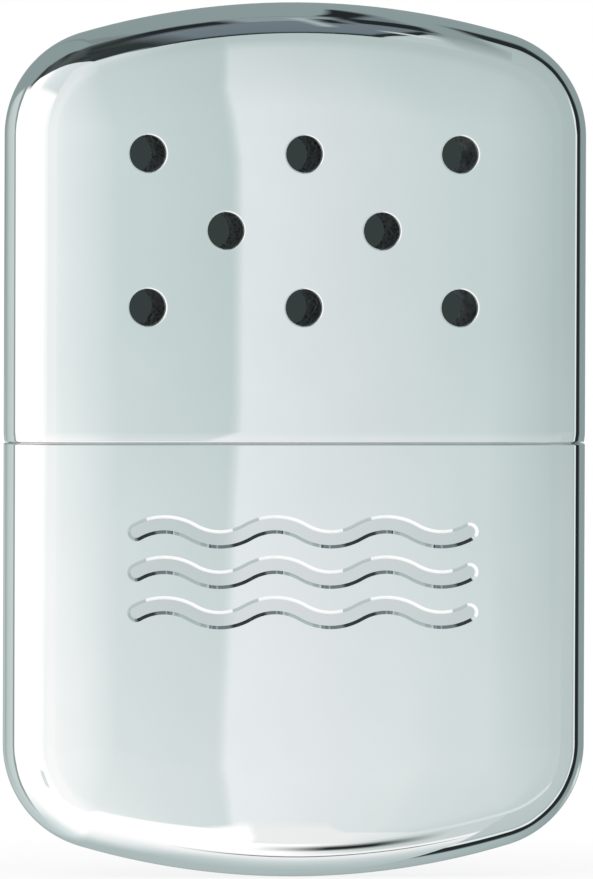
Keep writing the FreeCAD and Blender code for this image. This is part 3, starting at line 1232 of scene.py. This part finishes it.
def floor():
    """Pale floor, which runs out into white."""
    studio = bpy.context.scene.studio
    bpy.ops.mesh.primitive_circle_add(vertices=128, radius=6, fill_type="NGON", location=(0, 0, 0))
    ground = place_applied(bpy.context.object, "floor")
    with editing(ground):
        pick_all()
        bpy.ops.mesh.inset(thickness=3)
    root = new_material("pale_floor")
    place = root.node("ShaderNodeTexCoord", output="Object")
    away = place.vector_math("LENGTH", output=1)
    grain = noise(root, place, 180.0, detail=3.0)
    base = mix(grain, rgba(studio.floor, 0.985), rgba(studio.floor))
    matt = root.node("ShaderNodeBsdfDiffuse", {"Color": base})
    white = root.node("ShaderNodeEmission", {"Color": (1, 1, 1, 1), "Strength": 1.0})
    far = level(away, 0.01, 0.10, 0.8, 1.0)
    mixed = {0: far * seen_rays(root), 1: matt, 2: white}
    surface(root, root.node("ShaderNodeMixShader", mixed))
    give_finish(ground, "pale_floor")
    ground.visible_glossy = False


def world():
    """White where it is seen, and a soft light from all round."""
    studio = bpy.context.scene.studio
    made = bpy.data.worlds.new("studio")
    made.use_nodes = True
    made.node_tree.nodes.clear()
    root = Shade(made.node_tree)
    strength = studio.ambient + (1 - studio.ambient) * seen_rays(root)
    shader = root.node("ShaderNodeBackground", {"Color": (1, 1, 1, 1), "Strength": strength})
    root.node("ShaderNodeOutputWorld", {"Surface": shader})
    bpy.context.scene.world = made


def key_lamp():
    """Large lamp, high at the left, which the metal doesn't show."""
    studio = bpy.context.scene.studio
    bpy.ops.object.light_add(type="AREA", location=(-0.7, -0.8, 0.9))
    lamp = bpy.context.object
    lamp.name = "key_lamp"
    lamp.data.size = 0.7
    lamp.data.energy = studio.key_power
    lamp.rotation_euler = (MIDDLE - lamp.location).to_track_quat("-Z", "Y").to_euler()
    lamp.visible_glossy = False


def camera():
    studio = bpy.context.scene.studio
    out = Vector((math.sin(studio.azimuth), -math.cos(studio.azimuth), 0)) * studio.distance
    out.z = studio.camera_height
    bpy.ops.object.camera_add(location=out)
    eye = bpy.context.object
    target = MIDDLE + Vector((studio.aside, 0, 0))
    aim = (target - out).to_track_quat("-Z", "Y").to_matrix().to_4x4()
    eye.matrix_world = Matrix.Translation(out) @ aim @ Matrix.Rotation(studio.roll, 4, "Z")
    eye.data.lens = studio.lens
    eye.data.clip_start = 0.05
    eye.data.clip_end = 50
    bpy.context.scene.camera = eye


class WARMER_OT_stage(bpy.types.Operator):
    """Set up the floor, the reflecting cards, the light and the camera"""

    bl_idname = "warmer.stage"
    bl_label = "Stage"

    def execute(self, context):
        context.scene.view_settings.view_transform = "Standard"
        floor()
        dome()
        front_card()
        side_card()
        shade_behind_vents()
        world()
        key_lamp()
        camera()
        return {"FINISHED"}


class WARMER_PT_panel(bpy.types.Panel):
    """The hand warmer's operators and settings"""

    bl_idname = "WARMER_PT_panel"
    bl_label = "Hand warmer"
    bl_space_type = "VIEW_3D"
    bl_region_type = "UI"
    bl_category = "Warmer"

    def draw(self, context):
        for operator in OPERATORS:
            self.layout.operator(operator.bl_idname)
        for name in GROUPS:
            group = getattr(context.scene, name)
            box = self.layout.box()
            box.label(text=name.replace("_", " "))
            for setting in group.bl_rna.properties:
                if not setting.is_readonly and setting.identifier != "name":
                    box.prop(group, setting.identifier)


OPERATORS = (
    WARMER_OT_finishes,
    WARMER_OT_tank,
    WARMER_OT_cap,
    WARMER_OT_soft,
    WARMER_OT_gauzes,
    WARMER_OT_stage,
)
GROUPS = {
    "case_shape": CaseShape,
    "case_finish": CaseFinish,
    "motif_shape": MotifShape,
    "burner_shape": BurnerShape,
    "inner_finish": InnerFinish,
    "studio": Studio,
}


def register():
    for group in GROUPS.values():
        bpy.utils.register_class(group)
    for name, group in GROUPS.items():
        setattr(bpy.types.Scene, name, PointerProperty(type=group))
    for kind in (*OPERATORS, WARMER_PT_panel):
        bpy.utils.register_class(kind)


def unregister():
    for kind in reversed((*OPERATORS, WARMER_PT_panel)):
        bpy.utils.unregister_class(kind)
    for name in GROUPS:
        delattr(bpy.types.Scene, name)
    for group in GROUPS.values():
        bpy.utils.unregister_class(group)


def main():
    register()
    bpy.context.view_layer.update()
    for operator in OPERATORS:
        group, name = operator.bl_idname.split(".")
        getattr(getattr(bpy.ops, group), name)()


if __name__ == "__main__":
    main()
